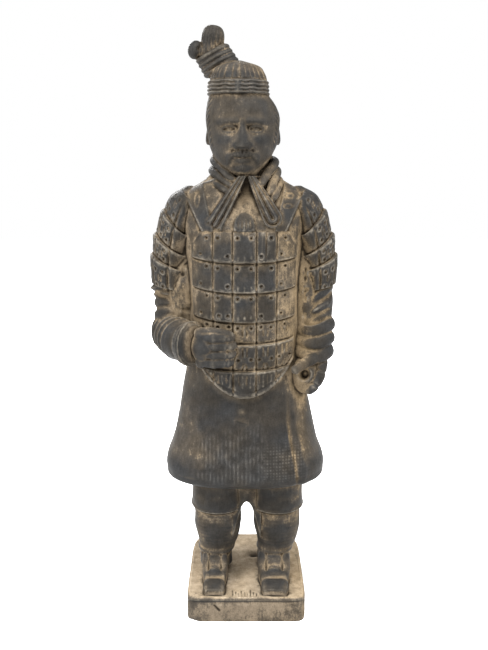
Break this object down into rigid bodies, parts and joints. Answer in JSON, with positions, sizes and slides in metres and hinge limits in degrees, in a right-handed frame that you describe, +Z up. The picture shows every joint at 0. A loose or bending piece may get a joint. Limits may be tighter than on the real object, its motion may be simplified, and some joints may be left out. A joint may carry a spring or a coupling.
{
  "type": "terracotta warrior statue",
  "caption": "Standing figure of an armoured soldier in unglazed terracotta, right fist at the belly, left hand curled at the side, cast with its low slab base.",
  "frame": {"origin": "on the underside of the slab, under the middle of the whole statue", "axes": "+Z up, the figure faces -Y, so its right hand is on the -X side"},
  "size_m": [0.1294, 0.106, 0.4],
  "materials": {
    "terracotta": "unglazed low-fired clay under a thin dark slate wash, rubbed back to tan clay in the recesses and on the edges, dry and matt"
  },
  "bodies": {
    "root": {"warrior_statue": "terracotta"}
  },
  "joints": []
}
